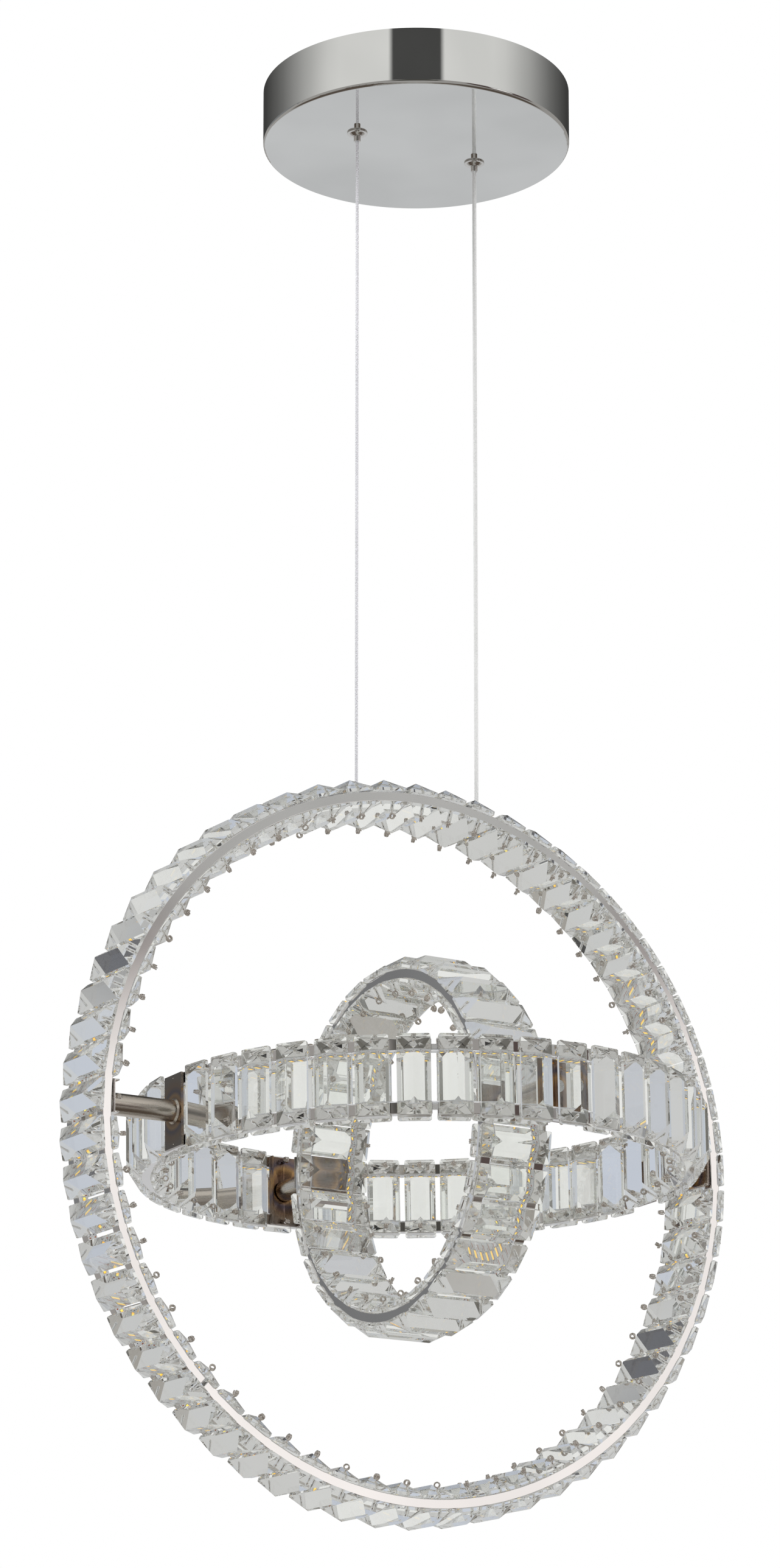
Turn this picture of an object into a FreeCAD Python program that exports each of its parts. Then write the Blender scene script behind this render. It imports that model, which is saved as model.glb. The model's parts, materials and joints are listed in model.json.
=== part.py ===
import FreeCAD, Part
import math
import os

# Crystal pendant light: a round canopy, two suspension cables and three nested crystal rings.
# Millimetres, +Z up. The origin is the centre of the canopy where it meets the ceiling.
# X runs along the large ring's plane, -Y is the side that the photograph shows.

Vector = FreeCAD.Vector
X_AXIS = Vector(1, 0, 0)
Y_AXIS = Vector(0, 1, 0)
Z_AXIS = Vector(0, 0, 1)
FULL_TURN = 360.0
HALF_TURN = 180.0
QUARTER_TURN = 90.0

# Clearances and overruns
seat_gap = 0.2            # between two pieces that rest on each other
slide_gap = 0.08          # radial, around a shaft that turns or slides
joint_gap = 0.3           # end play between pieces that turn on each other
cut_overrun = 1.0         # how far a cutting tool runs past the faces it cuts

# Hanging heights
canopy_height = 47.5
ring_drop = 905.0         # ceiling to the centre of the large ring
large_pivot_rise = 10.5   # the medium ring's axle above the centre of the large ring
small_pivot_rise = 6.3    # the small ring's axle above the centre of the small ring
medium_rest_tilt = 1.7    # degrees that the medium ring is turned back on its axle

# Rails: two square tubes bent round, front and back, in each ring
large_rim_radius = 289.0
medium_rim_radius = 221.5
small_rim_radius = 142.3
ring_half_width = 29.2    # from the middle of a ring to the outer face of a rail
rail_width = 8.0          # radial
rail_depth = 9.0          # along the ring's axis
rail_wall = 1.0
large_seam_gap = 2.7
medium_seam_gap = 4.7
small_seam_gap = 1.2
large_seam_station = 8    # counted down from the left bracket
large_seam_turn = 0.6     # degrees past that station, which keeps the seam off its pins
medium_seam_interval = 29
small_seam_interval = 0
joiner_length = 14.0
joiner_depth = 3.6        # along the ring's axis

# Crystals: flat back, thin girdle and a hipped front
crystal_length = 65.0
crystal_width = 26.0
crystal_girdle = 2.5
crystal_height = 12.0
crystal_hip = 14.0        # length of each end facet along the crystal
crystal_corner = 2.2      # radius of the four corners, seen from the front
crystal_hole_diameter = 3.0
pin_offset = 26.3         # pin holes, from the middle of the ring

# Stations: one outer and one inner crystal each
large_left_intervals = 15     # from the left bracket to the top station
large_right_intervals = 16    # from the top station to the right bracket
large_lower_intervals = 31
large_left_hanger_interval = 1    # counted from the top station
large_right_hanger_interval = 2
hanger_interval = 6.2     # degrees, wider to let a cable through
medium_stations = 44
small_upper_intervals = 15
small_lower_intervals = 15

# Pins that hold the crystals, each with a wire eye at its inner end
pin_diameter = 1.4
pin_hole_gap = 0.2
eye_wire_diameter = 1.2
eye_radius = 2.0          # middle of the wire
eye_stand = 4.5           # from the crystal's facet to the middle of the eye

# LED strips, on the sides of the two rails that face each other
strip_width = 7.6
strip_thickness = 0.6
strip_glue_gap = 0.05
strip_end_gap = 0.8
strip_end_turn = 4.0      # degrees from the rail's seam to the strip's ends
led_length = 3.4
led_width = 2.8
led_height = 0.8
led_pitch = 8.3

# Bracket plates and the axles between the rings
plate_thickness = 2.2
plate_width = 26.2
plate_length = 58.0
plate_lip = 3.6
plate_lip_thickness = 1.2
tube_diameter = 17.5
tube_bore = 14.5
weld_size = 1.4
plug_length = 12.0        # threaded plug in the tube's free end
plug_fit_gap = 0.03
axle_diameter = 6.0
axle_head_diameter = 10.0
axle_head_height = 2.6
axle_thread_diameter = 5.0
washer_diameter = 14.0
washer_thickness = 0.8

# Canopy cup
canopy_radius = 127.8
canopy_wall = 1.0
canopy_floor = 1.2
canopy_bend = 3.0

# Crossbar under the ceiling box, turned away from the grippers
crossbar_turn = -30.4
crossbar_width = 20.0
crossbar_thickness = 2.0
crossbar_ear = 20.0
crossbar_ear_gap = 0.8
ceiling_hole_pcd = 88.9
ceiling_hole_diameter = 5.0
wire_hole_diameter = 10.0
wire_hole_place = -20.0
side_screw_drop = 12.0
side_screw_diameter = 4.0
side_screw_head = 7.0
side_screw_cone = 1.6
side_screw_length = 9.0
ground_screw_place = 22.0
ground_screw_diameter = 4.0
ground_screw_head = 8.0
ground_screw_head_height = 2.2
ground_screw_length = 8.0

# LED driver, potted solid in its case, terminal block and the pads that hold them
driver_length = 104.0
driver_width = 34.0
driver_height = 24.0
driver_lid = 2.0
driver_offset = 66.0
driver_corner = 3.0
pad_thickness = 1.0
terminal_length = 30.0
terminal_width = 16.0
terminal_height = 14.0
terminal_offset = 62.0
terminal_hole_diameter = 3.6
terminal_hole_depth = 6.0
terminal_holes = 3

# Cable grippers
gripper_flange_diameter = 17.0
gripper_flange_thickness = 1.2
gripper_cone_diameter = 14.0
gripper_nose_diameter = 7.6
gripper_cone_height = 2.2
gripper_shank_diameter = 11.0
gripper_shank_length = 20.0
gripper_cavity_diameter = 9.0
gripper_cap = 1.5
gripper_floor = 1.4
gripper_nut_diameter = 16.0
gripper_nut_height = 3.0
plunger_diameter = 5.7
plunger_reach = 4.4       # out of the gripper's nose
plunger_head_diameter = 8.6
plunger_head_height = 2.0
ball_diameter = 1.8
ball_count = 3
spring_wire_diameter = 0.6
spring_turns = 6

# Cables and what holds them at the large ring
steel_cable_diameter = 2.7
power_cable_diameter = 3.8
cable_gap = 0.1
hanger_bar_width = 12.0
hanger_bar_thickness = 3.0
hanger_bar_clearance = 3.0   # between a hanger bar and the ends of the strip
stop_diameter = 5.6
stop_height = 2.2

# Derived sizes
rail_inner_face = ring_half_width - rail_depth
hanger_bar_length = 2 * (rail_inner_face - seat_gap)
pivot_height = large_pivot_rise - ring_drop
canopy_underside = -canopy_height
canopy_inside = canopy_underside + canopy_floor
large_inner_radius = large_rim_radius - rail_width
medium_inner_radius = medium_rim_radius - rail_width
small_inner_radius = small_rim_radius - rail_width


def export(shapes, name):
    solids = []
    for shape in shapes:
        solids.extend(shape.Solids)
    body = solids[0] if len(solids) == 1 else Part.makeCompound(solids)
    body.exportStep("parts/" + name + ".step")


def placed(shapes, placement):
    moved = []
    for shape in shapes:
        copy = shape.copy()
        copy.Placement = placement.multiply(copy.Placement)
        moved.append(copy)
    return moved


def turned(shape, angle, height=0.0):
    """A copy turned about the local ring axis and moved along it."""
    copy = shape.copy()
    turn = FreeCAD.Placement(Vector(0, 0, height), FreeCAD.Rotation(Z_AXIS, angle))
    copy.Placement = turn.multiply(copy.Placement)
    return copy


def tube(outer_radius, inner_radius, length, base, direction):
    outer = Part.makeCylinder(outer_radius, length, base, direction)
    inner = Part.makeCylinder(inner_radius, length, base, direction)
    return outer.cut(inner)


def centred_box(length, width, height, centre):
    corner = centre - Vector(length / 2, width / 2, height / 2)
    return Part.makeBox(length, width, height, corner)


# Station angles

def spaced(start, end, count, wide_interval=None):
    """Angles from start to end, both included, with one interval of the hanger's size."""
    span = end - start
    sign = math.copysign(1, span)
    if wide_interval is None:
        steps = [span / count] * count
    else:
        narrow = (span - sign * hanger_interval) / (count - 1)
        steps = [narrow] * count
        steps[wide_interval] = sign * hanger_interval
    angles = [start]
    for step in steps:
        angles.append(angles[-1] + step)
    return angles


def middle_of(angles, interval):
    return (angles[interval] + angles[interval + 1]) / 2


large_plate_reach = large_inner_radius - plate_thickness
large_bracket_angle = math.degrees(math.asin(large_pivot_rise / large_plate_reach))
top_angle = QUARTER_TURN
large_left_arc = spaced(top_angle, HALF_TURN - large_bracket_angle, large_left_intervals,
                        large_left_hanger_interval)
large_right_arc = spaced(top_angle, large_bracket_angle, large_right_intervals,
                         large_right_hanger_interval)
large_lower_arc = spaced(large_left_arc[-1], FULL_TURN + large_bracket_angle, large_lower_intervals)
large_brackets = [large_right_arc[-1], large_left_arc[-1]]
large_plain = large_left_arc[:-1] + large_right_arc[1:-1] + large_lower_arc[1:-1]

medium_step = FULL_TURN / medium_stations
medium_all = [k * medium_step for k in range(medium_stations)]
medium_outer_brackets = [0.0, HALF_TURN]
medium_inner_brackets = [QUARTER_TURN, QUARTER_TURN + HALF_TURN]

small_plate_reach = small_rim_radius + plate_thickness
small_bracket_angle = math.degrees(math.asin(small_pivot_rise / small_plate_reach))
small_upper_arc = spaced(small_bracket_angle, HALF_TURN - small_bracket_angle, small_upper_intervals)
small_lower_arc = spaced(small_upper_arc[-1], FULL_TURN + small_bracket_angle, small_lower_intervals)
small_brackets = [small_upper_arc[0], small_upper_arc[-1]]
small_plain = small_upper_arc[1:-1] + small_lower_arc[1:-1]

large_seam_angle = large_lower_arc[large_seam_station] + large_seam_turn
medium_seam_angle = middle_of(medium_all, medium_seam_interval)
small_seam_angle = middle_of(small_upper_arc, small_seam_interval)


def without(angles, left_out):
    return [a for a in angles if min(abs(a - b) for b in left_out) > medium_step / 2]


# Cable places, where a wide interval lets each cable through the outer crystals
gap_radius = large_rim_radius + seat_gap + crystal_girdle / 2
left_gap_angle = middle_of(large_left_arc, large_left_hanger_interval)
right_gap_angle = middle_of(large_right_arc, large_right_hanger_interval)
left_gap_x = gap_radius * math.cos(math.radians(left_gap_angle))
right_gap_x = gap_radius * math.cos(math.radians(right_gap_angle))
cable_spread = (right_gap_x - left_gap_x) / 2
large_centre_x = -(right_gap_x + left_gap_x) / 2

large_frame = FreeCAD.Placement(Vector(large_centre_x, 0, -ring_drop),
                                FreeCAD.Rotation(X_AXIS, QUARTER_TURN))
medium_frame = FreeCAD.Placement(Vector(0, 0, pivot_height),
                                 FreeCAD.Rotation(X_AXIS, -medium_rest_tilt))
small_in_medium = FreeCAD.Placement(Vector(0, 0, -small_pivot_rise),
                                    FreeCAD.Rotation(-Y_AXIS, Z_AXIS, -X_AXIS, "ZXY"))
small_frame = medium_frame.multiply(small_in_medium)


# Crystals, with the flat back on the local YZ plane and the front towards +X

def crystal_blank():
    half_length = crystal_length / 2
    half_width = crystal_width / 2
    ridge_end = half_length - crystal_hip

    back = [Vector(0, -half_width, -half_length), Vector(0, half_width, -half_length),
            Vector(0, half_width, half_length), Vector(0, -half_width, half_length)]
    edge = [point + Vector(crystal_girdle, 0, 0) for point in back]
    ridge_low = Vector(crystal_height, 0, -ridge_end)
    ridge_high = Vector(crystal_height, 0, ridge_end)
    outlines = [back]
    for k in range(len(back)):
        following = (k + 1) % len(back)
        outlines.append([back[k], back[following], edge[following], edge[k]])
    outlines.append([edge[0], edge[1], ridge_low])
    outlines.append([edge[1], edge[2], ridge_high, ridge_low])
    outlines.append([edge[2], edge[3], ridge_high])
    outlines.append([edge[3], edge[0], ridge_low, ridge_high])
    faces = [Part.Face(Part.makePolygon(points + [points[0]])) for points in outlines]
    return Part.makeSolid(Part.makeShell(faces))


def drilled_crystal():
    blank = crystal_blank()
    if blank.Volume < 0:
        blank.reverse()
    outline = centred_box(crystal_height * 2, crystal_width, crystal_length, Vector(crystal_height, 0, 0))
    corners = [e for e in outline.Edges if e.BoundBox.XLength > crystal_height]
    blank = blank.common(outline.makeFillet(crystal_corner, corners))
    holes = []
    for side in (-1, 1):
        start = Vector(-cut_overrun, 0, side * pin_offset)
        length = crystal_height + 2 * cut_overrun
        holes.append(Part.makeCylinder(crystal_hole_diameter / 2, length, start, X_AXIS))
    return blank.cut(holes)


def outer_crystals(crystal, rim_radius, angles):
    seated = crystal.copy()
    seated.Placement = FreeCAD.Placement(Vector(rim_radius + seat_gap, 0, 0), FreeCAD.Rotation())
    return [turned(seated, angle) for angle in angles]


def inner_crystals(crystal, rim_radius, angles):
    facing_in = FreeCAD.Rotation(Z_AXIS, HALF_TURN)
    back_radius = math.sqrt((rim_radius - rail_width) ** 2 - (crystal_width / 2) ** 2) - seat_gap
    seated = crystal.copy()
    seated.Placement = FreeCAD.Placement(Vector(back_radius, 0, 0), facing_in)
    return [turned(seated, angle) for angle in angles]


# Pins

facet_share = (crystal_length / 2 - pin_offset) / crystal_hip
facet_height = crystal_girdle + facet_share * (crystal_height - crystal_girdle)


def pin(outer_end, inner_end):
    """A straight rod along the local X axis with a wire eye inside its inner end."""
    rod = Part.makeCylinder(pin_diameter / 2, outer_end - inner_end, Vector(inner_end, 0, 0), X_AXIS)
    eye_centre = Vector(inner_end - eye_radius, 0, 0)
    eye = Part.makeTorus(eye_radius, eye_wire_diameter / 2, eye_centre, Z_AXIS)
    return rod.fuse(eye)


def pins(rim_radius, angles, outer_end, inner_end):
    one = pin(outer_end, inner_end)
    rows = []
    for height in (-pin_offset, pin_offset):
        rows.extend(turned(one, angle, height) for angle in angles)
    return rows


def pin_hole_tools(angles, start, end):
    radius = pin_diameter / 2 + pin_hole_gap
    one = Part.makeCylinder(radius, end - start, Vector(start, 0, 0), X_AXIS)
    tools = []
    for height in (-pin_offset, pin_offset):
        tools.extend(turned(one, angle, height) for angle in angles)
    return tools


# Rails

def seam_tool(rim_radius, seam_gap, seam_angle):
    length = rail_width + 2 * cut_overrun
    middle = Vector(rim_radius - rail_width / 2, 0, 0)
    slot = centred_box(length, seam_gap, 2 * ring_half_width + 2 * cut_overrun, middle)
    return turned(slot, seam_angle)


def bent_tube(rim_radius):
    """The upper rail of a ring, a square tube bent round to meet itself."""
    inner = rim_radius - rail_width
    outside = tube(rim_radius, inner, rail_depth, Vector(0, 0, rail_inner_face), Z_AXIS)
    hollow_base = Vector(0, 0, rail_inner_face + rail_wall)
    hollow_depth = rail_depth - 2 * rail_wall
    hollow = tube(rim_radius - rail_wall, inner + rail_wall, hollow_depth, hollow_base, Z_AXIS)
    return outside.cut(hollow)


def rails(rim_radius, angles, seam_gap, seam_angle):
    start = rim_radius - rail_width - cut_overrun
    holes = pin_hole_tools(angles, start, rim_radius + cut_overrun)
    seam = seam_tool(rim_radius, seam_gap, seam_angle)
    upper = bent_tube(rim_radius)
    lower = upper.mirror(Vector(0, 0, 0), Z_AXIS)
    upper_holes = [h for h in holes if h.BoundBox.ZMax > 0]
    lower_holes = [h for h in holes if h.BoundBox.ZMax < 0]
    return [upper.cut(upper_holes + [seam]), lower.cut(lower_holes + [seam])]


# LED strips

strip_gap_at_bar = hanger_bar_width + 2 * hanger_bar_clearance


def strips(rim_radius, seam_angle, bar_angles):
    """The two strips of a ring, interrupted where a hanger bar meets the rail."""
    middle_radius = rim_radius - rail_width / 2
    base = Vector(0, 0, rail_inner_face - strip_glue_gap - strip_thickness)
    band = tube(middle_radius + strip_width / 2, middle_radius - strip_width / 2, strip_thickness,
                base, Z_AXIS)
    cuts = [seam_tool(rim_radius, strip_end_gap, seam_angle + strip_end_turn)]
    cuts += [seam_tool(rim_radius, strip_gap_at_bar, angle) for angle in bar_angles]
    upper = band.cut(cuts)
    return [upper, upper.mirror(Vector(0, 0, 0), Z_AXIS)]


def turn_between(first, second):
    return abs((first - second + HALF_TURN) % FULL_TURN - HALF_TURN)


def led_chips(rim_radius, seam_angle, bar_angles):
    middle_radius = rim_radius - rail_width / 2
    count = int(2 * math.pi * middle_radius / led_pitch)
    height = rail_inner_face - strip_glue_gap - strip_thickness - led_height / 2
    chip = centred_box(led_width, led_length, led_height, Vector(middle_radius, 0, 0))
    clear_turn = math.degrees((strip_gap_at_bar + led_pitch) / 2 / middle_radius)
    chips = []
    for k in range(count):
        angle = seam_angle + (k + 1) * FULL_TURN / (count + 1)
        if all(turn_between(angle, bar) > clear_turn for bar in bar_angles):
            chips.append(turned(chip, angle, height))
            chips.append(turned(chip, angle, -height))
    return chips


def joiners(rim_radius, seam_angle):
    """A short bar inside each tube, which bridges the rail's seam."""
    outer = rim_radius - rail_wall - seat_gap
    inner = rim_radius - rail_width + rail_wall + seat_gap
    low = rail_inner_face + rail_wall + seat_gap
    band = tube(outer, inner, joiner_depth, Vector(0, 0, low), Z_AXIS)
    window = centred_box(rail_width, joiner_length, rail_depth,
                         Vector(rim_radius - rail_width / 2, 0, low + joiner_depth / 2))
    bar = band.common(turned(window, seam_angle))
    return [bar, bar.mirror(Vector(0, 0, 0), Z_AXIS)]


def export_lighting(rim_radius, seam_angle, bar_angles, frame, ring_name):
    export(placed(strips(rim_radius, seam_angle, bar_angles), frame), ring_name + "_led_strips")
    export(placed(led_chips(rim_radius, seam_angle, bar_angles), frame), ring_name + "_led_chips")
    export(placed(joiners(rim_radius, seam_angle), frame), ring_name + "_rail_joiners")


# Bracket plates, each square to the axle that it carries

def flat_plate(near_face, along):
    middle = Vector(near_face + plate_thickness / 2, along, 0)
    return centred_box(plate_thickness, plate_width, plate_length, middle)


def tray_plate(near_face, along):
    """A plate with a lip along each long edge, facing the middle of the ring."""
    lip_y = (plate_width - plate_lip_thickness) / 2
    lips = []
    for side in (-1, 1):
        middle = Vector(near_face - plate_lip / 2, along + side * lip_y, 0)
        lips.append(centred_box(plate_lip, plate_lip_thickness, plate_length, middle))
    return flat_plate(near_face, along).multiFuse(lips).removeSplitter()


def axle_hole(along):
    radius = axle_diameter / 2 + slide_gap
    return Part.makeCylinder(radius, 2 * large_rim_radius, Vector(0, along, 0), X_AXIS)


def inner_plate_face(rim_radius, along):
    """How far out a flat plate can sit inside a ring before its corner meets the rail."""
    corner = abs(along) + plate_width / 2
    return math.sqrt((rim_radius - rail_width) ** 2 - corner ** 2) - seat_gap - plate_thickness


# Axles: a shoulder bolt turns in the carrying plate and screws into the plug of the carried tube

def axle_parts(carrier_face, tube_foot):
    """Pieces along +X, from the carried plate at tube_foot to the carrying plate at carrier_face."""
    washer_low = carrier_face - joint_gap - washer_thickness
    tube_end = washer_low - joint_gap
    foot = Vector(tube_foot, 0, 0)
    link = tube(tube_diameter / 2, tube_bore / 2, tube_end - tube_foot, foot, X_AXIS)
    weld_bead = Part.makeCone(tube_diameter / 2 + weld_size, tube_diameter / 2, weld_size, foot, X_AXIS)
    weld_core = Part.makeCylinder(tube_bore / 2, weld_size, foot, X_AXIS)
    link = link.fuse(weld_bead.cut(weld_core)).removeSplitter()

    plug_start = tube_end - plug_length
    plug = tube(tube_bore / 2 - plug_fit_gap, axle_thread_diameter / 2 + slide_gap, plug_length,
                Vector(plug_start, 0, 0), X_AXIS)
    head_face = carrier_face + plate_thickness + joint_gap
    head = Part.makeCylinder(axle_head_diameter / 2, axle_head_height, Vector(head_face, 0, 0), X_AXIS)
    shoulder_start = Vector(tube_end + seat_gap, 0, 0)
    shoulder = Part.makeCylinder(axle_diameter / 2, head_face - shoulder_start.x, shoulder_start, X_AXIS)
    thread = Part.makeCylinder(axle_thread_diameter / 2, head_face - plug_start,
                               Vector(plug_start, 0, 0), X_AXIS)
    bolt = head.multiFuse([shoulder, thread]).removeSplitter()
    washer = tube(washer_diameter / 2, axle_diameter / 2 + slide_gap, washer_thickness,
                  Vector(washer_low, 0, 0), X_AXIS)
    return {"link_tubes": link, "tube_plugs": plug, "axle_bolts": bolt, "axle_washers": washer}


def export_axles(ring_name, frame, carrier_faces, tube_foot):
    """Both ends of a ring's axle. carrier_faces gives each end's turn and carrying plate."""
    ends = []
    for turn, face in carrier_faces:
        pieces = axle_parts(face, tube_foot)
        ends.append({name: turned(shape, turn) for name, shape in pieces.items()})
    for name in ends[0]:
        export(placed([end[name] for end in ends], frame), ring_name + "_" + name)


# Large ring: its local X is the axle's direction and its local Y is up

def build_large_ring(crystal):
    everywhere = large_plain + large_brackets
    upper, lower = rails(large_rim_radius, everywhere, large_seam_gap, large_seam_angle)
    export(placed([upper], large_frame), "large_front_rail")
    export(placed([lower], large_frame), "large_back_rail")
    outer = outer_crystals(crystal, large_rim_radius, everywhere)
    inner = inner_crystals(crystal, large_rim_radius, large_plain)
    export(placed(outer, large_frame), "large_outer_crystals")
    export(placed(inner, large_frame), "large_inner_crystals")

    outer_end = large_rim_radius + seat_gap + facet_height
    inner_end = large_inner_radius - seat_gap - facet_height - eye_stand + eye_radius
    long_pins = pins(large_rim_radius, large_plain, outer_end, inner_end)
    plate_inner = inner_plate_face(large_rim_radius, large_pivot_rise)
    short_end = plate_inner - eye_stand + eye_radius
    short_pins = pins(large_rim_radius, large_brackets, outer_end, short_end)
    export(placed(long_pins + short_pins, large_frame), "large_crystal_pins")

    bar_angles = [left_gap_angle, right_gap_angle]
    export_lighting(large_rim_radius, large_seam_angle, bar_angles, large_frame, "large")

    plates = []
    for mirrored in (False, True):
        plate = tray_plate(plate_inner, large_pivot_rise).cut(axle_hole(large_pivot_rise))
        if mirrored:
            plate = plate.mirror(Vector(0, 0, 0), X_AXIS)
        start = plate_inner - plate_lip - cut_overrun
        tools = pin_hole_tools(large_brackets, start, large_rim_radius)
        plates.append(plate.cut(tools))
    export(placed(plates, large_frame), "large_bracket_plates")
    return plate_inner


def hangers_and_cables():
    """Bars between the large ring's rails, with the stop that ends each cable."""
    bars = []
    stops = []
    cables = []
    sides = ((-cable_spread, left_gap_angle, steel_cable_diameter),
             (cable_spread, right_gap_angle, power_cable_diameter))
    for x, angle, diameter in sides:
        tilt = abs(top_angle - angle)
        corner_drop = hanger_bar_width / 2 * math.sin(math.radians(tilt))
        room = large_rim_radius - rail_wall - seat_gap - corner_drop
        x_in_ring = x - large_centre_x
        bar_top = math.sqrt(room ** 2 - x_in_ring ** 2) - ring_drop
        bar_middle = Vector(x, 0, bar_top - hanger_bar_thickness / 2)
        bar = centred_box(hanger_bar_width, hanger_bar_length, hanger_bar_thickness, bar_middle)
        bar_low = bar_top - hanger_bar_thickness
        hole = Part.makeCylinder(diameter / 2 + cable_gap, hanger_bar_thickness + 2 * cut_overrun,
                                 Vector(x, 0, bar_low - cut_overrun))
        bars.append(bar.cut(hole))
        stop_top = bar_low - seat_gap
        stops.append(Part.makeCylinder(stop_diameter / 2, stop_height, Vector(x, 0, stop_top - stop_height)))
        cable_top = canopy_underside + canopy_floor + gripper_shank_length
        cables.append(Part.makeCylinder(diameter / 2, cable_top - stop_top, Vector(x, 0, stop_top)))
    export(bars, "cable_hanger_bars")
    export(stops, "cable_stops")
    export([cables[0]], "steel_cable")
    export([cables[1]], "power_cable")


# Medium ring: its local X is its own axle, its local Y the small ring's axle

def build_medium_ring(crystal, large_plate_inner):
    upper, lower = rails(medium_rim_radius, medium_all, medium_seam_gap, medium_seam_angle)
    export(placed([upper], medium_frame), "medium_upper_rail")
    export(placed([lower], medium_frame), "medium_lower_rail")
    outer_angles = without(medium_all, medium_outer_brackets + [FULL_TURN])
    inner_angles = without(medium_all, medium_inner_brackets)
    outer = outer_crystals(crystal, medium_rim_radius, outer_angles)
    inner = inner_crystals(crystal, medium_rim_radius, inner_angles)
    export(placed(outer, medium_frame), "medium_outer_crystals")
    export(placed(inner, medium_frame), "medium_inner_crystals")

    crystal_end = medium_rim_radius + seat_gap + facet_height
    eye_end = medium_inner_radius - seat_gap - facet_height - eye_stand + eye_radius
    plain = without(outer_angles, medium_inner_brackets)
    outer_face = medium_rim_radius + seat_gap
    inner_face = inner_plate_face(medium_rim_radius, 0.0)
    made = pins(medium_rim_radius, plain, crystal_end, eye_end)
    made += pins(medium_rim_radius, medium_outer_brackets, outer_face + plate_thickness, eye_end)
    plate_end = inner_face - eye_stand + eye_radius
    made += pins(medium_rim_radius, medium_inner_brackets, crystal_end, plate_end)
    export(placed(made, medium_frame), "medium_crystal_pins")

    export_lighting(medium_rim_radius, medium_seam_angle, [], medium_frame, "medium")

    outer_tools = pin_hole_tools(medium_outer_brackets, medium_inner_radius,
                                 outer_face + plate_thickness + cut_overrun)
    flat = flat_plate(outer_face, 0.0)
    outer_plates = [turned(flat, turn).cut(outer_tools) for turn in medium_outer_brackets]
    export(placed(outer_plates, medium_frame), "medium_outer_plates")

    inner_tools = pin_hole_tools(medium_inner_brackets, inner_face - plate_lip - cut_overrun,
                                 medium_rim_radius)
    tray = tray_plate(inner_face, 0.0).cut(axle_hole(0.0))
    inner_plates = [turned(tray, turn).cut(inner_tools) for turn in medium_inner_brackets]
    export(placed(inner_plates, medium_frame), "medium_inner_plates")

    right_end, left_end = medium_outer_brackets
    carrier_faces = ((right_end, large_plate_inner + large_centre_x),
                     (left_end, large_plate_inner - large_centre_x))
    export_axles("medium", medium_frame, carrier_faces, outer_face + plate_thickness)
    return inner_face


# Small ring: its local X points to the viewer along its axle, its local Y is up

def build_small_ring(crystal, medium_plate_inner):
    everywhere = small_plain + small_brackets
    front, back = rails(small_rim_radius, everywhere, small_seam_gap, small_seam_angle)
    export(placed([front], small_frame), "small_front_rail")
    export(placed([back], small_frame), "small_back_rail")
    outer = outer_crystals(crystal, small_rim_radius, small_plain)
    inner = inner_crystals(crystal, small_rim_radius, everywhere)
    export(placed(outer, small_frame), "small_outer_crystals")
    export(placed(inner, small_frame), "small_inner_crystals")

    crystal_end = small_rim_radius + seat_gap + facet_height
    eye_end = small_inner_radius - seat_gap - facet_height - eye_stand + eye_radius
    outer_face = small_rim_radius + seat_gap
    made = pins(small_rim_radius, small_plain, crystal_end, eye_end)
    made += pins(small_rim_radius, small_brackets, outer_face + plate_thickness, eye_end)
    export(placed(made, small_frame), "small_crystal_pins")

    export_lighting(small_rim_radius, small_seam_angle, [], small_frame, "small")

    tools = pin_hole_tools(small_brackets, small_inner_radius, outer_face + plate_thickness + cut_overrun)
    plates = []
    for mirrored in (False, True):
        plate = flat_plate(outer_face, small_pivot_rise)
        if mirrored:
            plate = plate.mirror(Vector(0, 0, 0), X_AXIS)
        plates.append(plate.cut(tools))
    export(placed(plates, small_frame), "small_outer_plates")

    carrier_faces = [(turn, medium_plate_inner) for turn in medium_inner_brackets]
    export_axles("small", medium_frame, carrier_faces, outer_face + plate_thickness)


# Canopy and what it holds

def build_canopy():
    outside = Part.makeCylinder(canopy_radius, canopy_height, Vector(0, 0, canopy_underside))
    low_edges = [e for e in outside.Edges if e.BoundBox.ZMax < canopy_underside + cut_overrun]
    outside = outside.makeFillet(canopy_bend, low_edges)
    inside = Part.makeCylinder(canopy_radius - canopy_wall, canopy_height, Vector(0, 0, canopy_inside))
    low_edges = [e for e in inside.Edges if e.BoundBox.ZMax < canopy_inside + cut_overrun]
    inside = inside.makeFillet(canopy_bend - canopy_wall, low_edges)
    cup = outside.cut(inside)
    tools = []
    for side in (-1, 1):
        base = Vector(side * cable_spread, 0, canopy_underside - cut_overrun)
        tools.append(Part.makeCylinder(gripper_shank_diameter / 2 + seat_gap,
                                       canopy_floor + 2 * cut_overrun, base))
    cup = cup.cut(tools)
    turn = FreeCAD.Placement(Vector(0, 0, 0), FreeCAD.Rotation(Z_AXIS, crossbar_turn))
    screw_tools = [placed([side_screw_tool(side)], turn)[0] for side in (-1, 1)]
    export([cup.cut(screw_tools)], "canopy_cup")

    export(placed([crossbar()], turn), "ceiling_crossbar")
    export(placed([side_screw(side) for side in (-1, 1)], turn), "canopy_side_screws")
    export(placed([ground_screw()], turn), "ground_screw")
    for shapes, node in driver_and_terminal():
        export(placed(shapes, turn), node)


ear_outside = math.sqrt((canopy_radius - canopy_wall) ** 2 - (crossbar_width / 2) ** 2) - crossbar_ear_gap


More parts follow.
